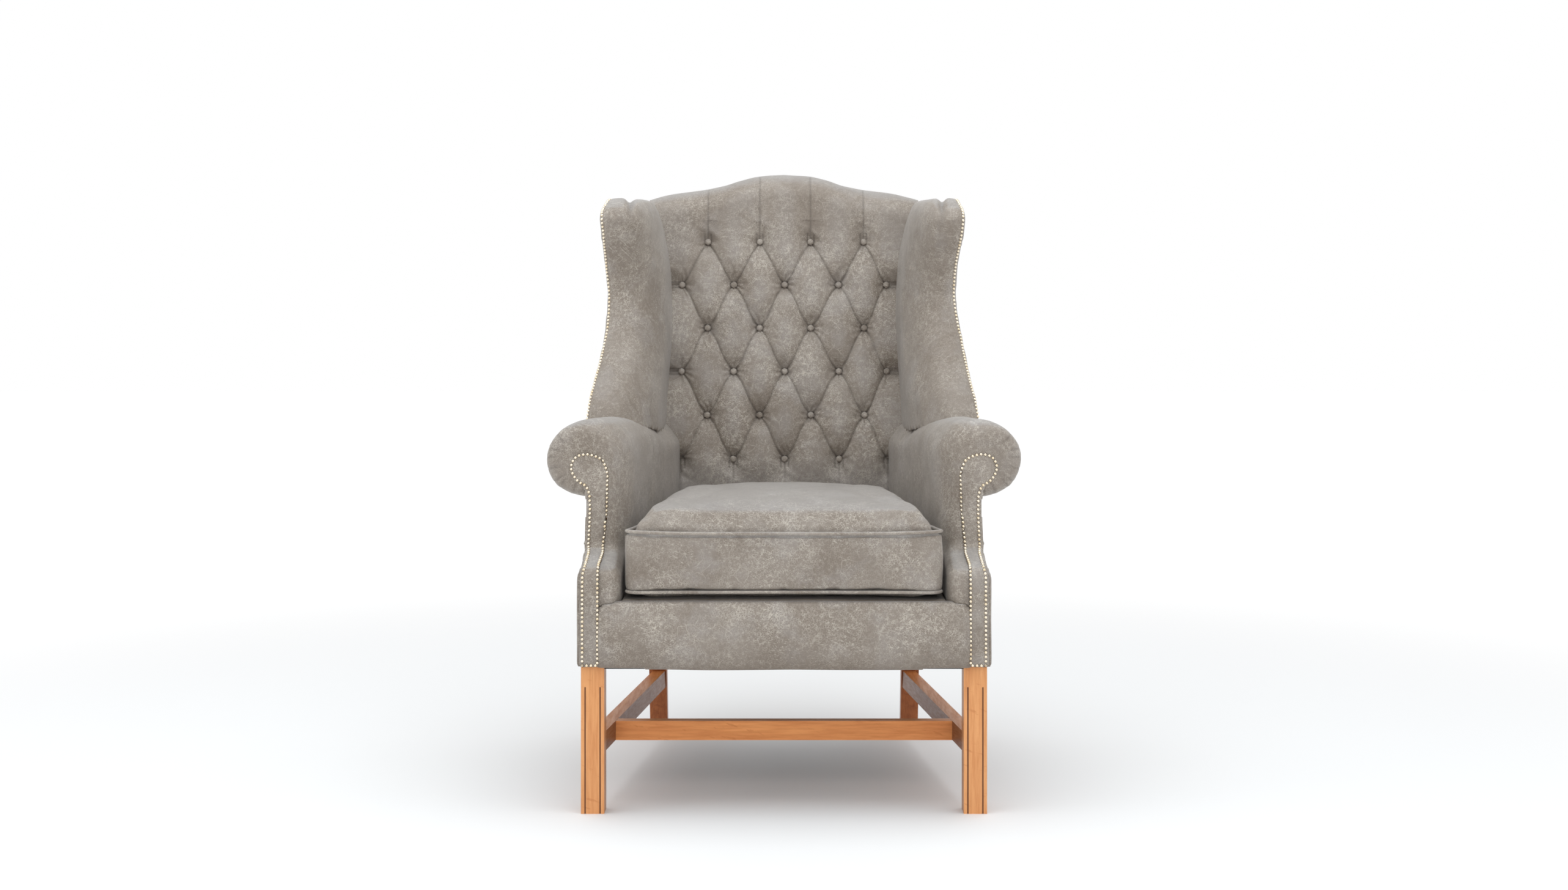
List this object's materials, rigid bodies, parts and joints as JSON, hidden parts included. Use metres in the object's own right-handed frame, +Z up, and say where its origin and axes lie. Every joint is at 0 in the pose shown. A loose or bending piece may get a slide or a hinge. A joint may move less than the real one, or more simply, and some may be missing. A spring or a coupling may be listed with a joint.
{
  "type": "wingback armchair",
  "caption": "Wingback armchair with scroll arms, a diamond-tufted back, a loose seat cushion, nail trim and square legs joined by an H stretcher.",
  "frame": {"origin": "on the floor, in the middle of the chair's outline seen from above", "axes": "+Z up; the chair faces -Y; +X is the right side as seen from the front"},
  "size_m": [0.8046, 0.785, 1.104],
  "materials": {
    "upholstery": "distressed, soft sheen",
    "show_wood": "satin lacquer",
    "frame_wood": "raw hardwood",
    "spring_steel": "oiled wire",
    "jute": "woven webbing",
    "cambric": "dull black cloth"
  },
  "bodies": {
    "chair": {"front_leg_right": "show_wood", "front_leg_left": "show_wood", "back_post_right": "show_wood", "back_post_left": "show_wood", "side_rail_right": "frame_wood", "side_rail_left": "frame_wood", "side_stretcher_right": "show_wood", "side_stretcher_left": "show_wood", "front_corner_block_right": "frame_wood", "front_corner_block_left": "frame_wood", "back_corner_block_right": "frame_wood", "back_corner_block_left": "frame_wood", "arm_post_right": "frame_wood", "arm_post_left": "frame_wood", "arm_rail_right": "frame_wood", "arm_rail_left": "frame_wood", "wing_post_right": "frame_wood", "wing_post_left": "frame_wood", "wing_rail_right": "frame_wood", "wing_rail_left": "frame_wood", "arm_pad_right": "upholstery", "arm_pad_left": "upholstery", "wing_pad_right": "upholstery", "wing_pad_left": "upholstery", "outside_wing_panel_right": "upholstery", "outside_wing_panel_left": "upholstery", "outside_arm_panel_right": "upholstery", "outside_arm_panel_left": "upholstery", "arm_front_right": "upholstery", "arm_front_left": "upholstery", "arm_facing_right": "upholstery", "arm_facing_left": "upholstery", "cross_stretcher": "show_wood", "front_rail": "frame_wood", "back_rail": "frame_wood", "outside_back_panel": "upholstery", "front_border": "upholstery", "crest_rail": "frame_wood", "lower_back_rail": "frame_wood", "back_strap_1": "jute", "back_strap_2": "jute", "back_strap_3": "jute", "back_pad": "upholstery", "seat_spring_1": "spring_steel", "seat_spring_2": "spring_steel", "seat_spring_3": "spring_steel", "seat_spring_4": "spring_steel", "seat_spring_5": "spring_steel", "seat_deck": "jute", "dust_cover": "cambric"},
    "cushion": {"seat_cushion": "upholstery"}
  },
  "joints": [
    {"name": "cushion_lift", "type": "slide", "parent": "chair", "child": "cushion", "axis": [0, 0, 1], "range_m": [0, 0.3]}
  ]
}
